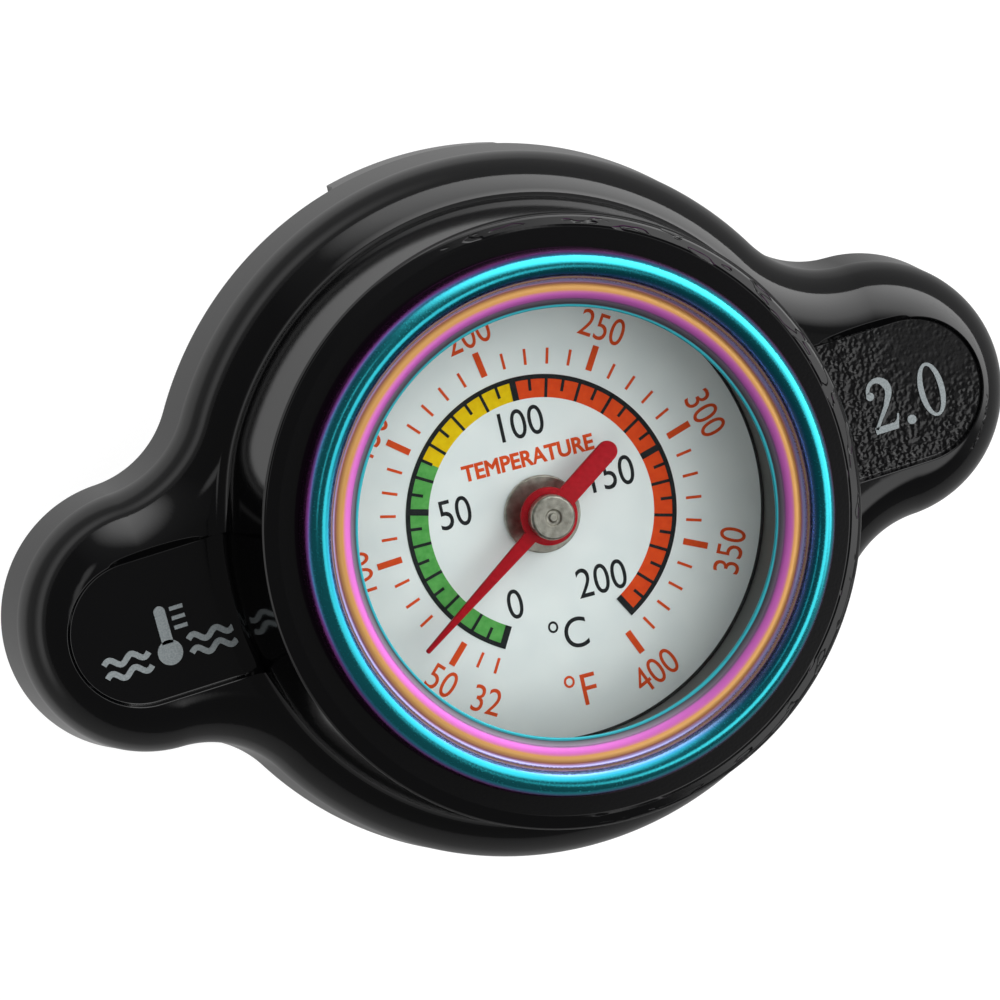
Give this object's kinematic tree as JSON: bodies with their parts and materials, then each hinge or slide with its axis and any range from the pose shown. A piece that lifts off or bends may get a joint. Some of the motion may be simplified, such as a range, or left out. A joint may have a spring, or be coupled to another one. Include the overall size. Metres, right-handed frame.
{
  "type": "radiator cap thermometer",
  "caption": "Two-eared bayonet radiator cap with a dial thermometer in its raised collar, a probe, a sprung pressure valve and a vacuum valve.",
  "frame": {"origin": "on the axis of the dial, in the plane where the neck gasket rests on the rim of the filler neck", "axes": "+Z along the probe and dial axis, out through the window; +X along the ear that lies to the right of the dial; +Y to the top of the dial"},
  "size_m": [0.076, 0.0518, 0.0477],
  "materials": {
    "black_enamel": "gloss black enamel on die-cast aluminium",
    "rainbow_coated_aluminium": "turned aluminium with a thin-film rainbow coating",
    "black_rubber": "moulded EPDM rubber",
    "window_glass": "clear flat window",
    "grey_plastic": "satin grey moulding",
    "white_dial": "satin white lacquer with printed scales",
    "nickel": "nickel-plated turned brass",
    "red_pointer": "red lacquer",
    "stainless_steel": "drawn and pressed stainless steel",
    "brass": "turned brass",
    "bimetal": "rolled bimetal strip",
    "spring_steel": "drawn stainless spring wire and stamped clips"
  },
  "bodies": {
    "cap": {"cap_body": "black_enamel", "bezel_ring": "rainbow_coated_aluminium", "lens_gasket": "black_rubber", "window_lens": "window_glass", "dial_spacer": "grey_plastic", "dial_gasket": "black_rubber", "dial_plate": "white_dial", "dial_bush": "nickel", "spindle_guide": "brass", "bimetal_coil": "bimetal", "probe_tube": "stainless_steel", "probe_plug": "stainless_steel", "probe_o_ring": "black_rubber", "spring_disc": "stainless_steel", "neck_gasket": "black_rubber", "spring_cup": "stainless_steel", "guide_nut": "brass", "pressure_spring": "spring_steel", "shank_clip": "spring_steel"},
    "pointer_movement": {"pointer": "red_pointer", "pointer_cap": "nickel", "spindle": "stainless_steel"},
    "pressure_valve": {"pressure_plate": "brass", "pressure_seal": "black_rubber", "seal_retainer": "stainless_steel", "vacuum_clip": "spring_steel", "vacuum_spring": "spring_steel"},
    "vacuum_valve": {"vacuum_disc": "brass", "vacuum_seal": "black_rubber"}
  },
  "joints": [
    {"name": "pointer_turn", "type": "hinge", "parent": "cap", "child": "pointer_movement", "pos_m": [0, 0, 0], "axis": [0, 0, -1], "range_deg": [-26, 273], "stiffness_Nm_per_rad": 0.0005},
    {"name": "pressure_lift", "type": "slide", "parent": "cap", "child": "pressure_valve", "axis": [0, 0, 1], "range_m": [0, 0.003], "stiffness_N_per_m": 2000, "deforming": ["pressure_spring"]},
    {"name": "vacuum_drop", "type": "slide", "parent": "pressure_valve", "child": "vacuum_valve", "axis": [0, 0, -1], "range_m": [0, 0.0012], "stiffness_N_per_m": 100, "springref_m": -0.001, "deforming": ["vacuum_spring"]}
  ]
}
